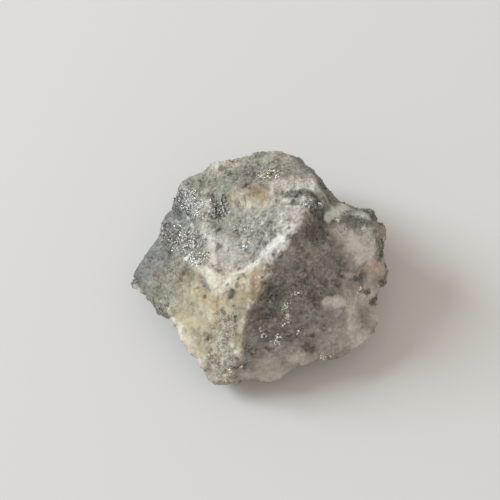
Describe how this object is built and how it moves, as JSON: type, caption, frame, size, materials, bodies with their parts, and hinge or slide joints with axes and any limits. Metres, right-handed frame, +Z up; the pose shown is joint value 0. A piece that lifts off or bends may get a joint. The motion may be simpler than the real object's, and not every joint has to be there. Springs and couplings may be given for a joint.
{
  "type": "wagnerite specimen",
  "caption": "Broken lump of grey granular rock with a hollow, a crushed white quartz rim, a high crest and quartz knobs, resting on a flat break; a display mineral specimen.",
  "frame": {"origin": "centre of the stone's box in X and Y, on the plane of its resting face", "axes": "+X towards the quartz side, along the longest extent; +Y towards the back, away from the crest's foot; +Z up from the resting face"},
  "size_m": [0.0652, 0.0606, 0.0369],
  "materials": {
    "grey_rock": "rough broken rock, grey to olive and beige, with milky quartz and small brassy metallic grains"
  },
  "bodies": {
    "root": {"stone": "grey_rock"}
  },
  "joints": []
}
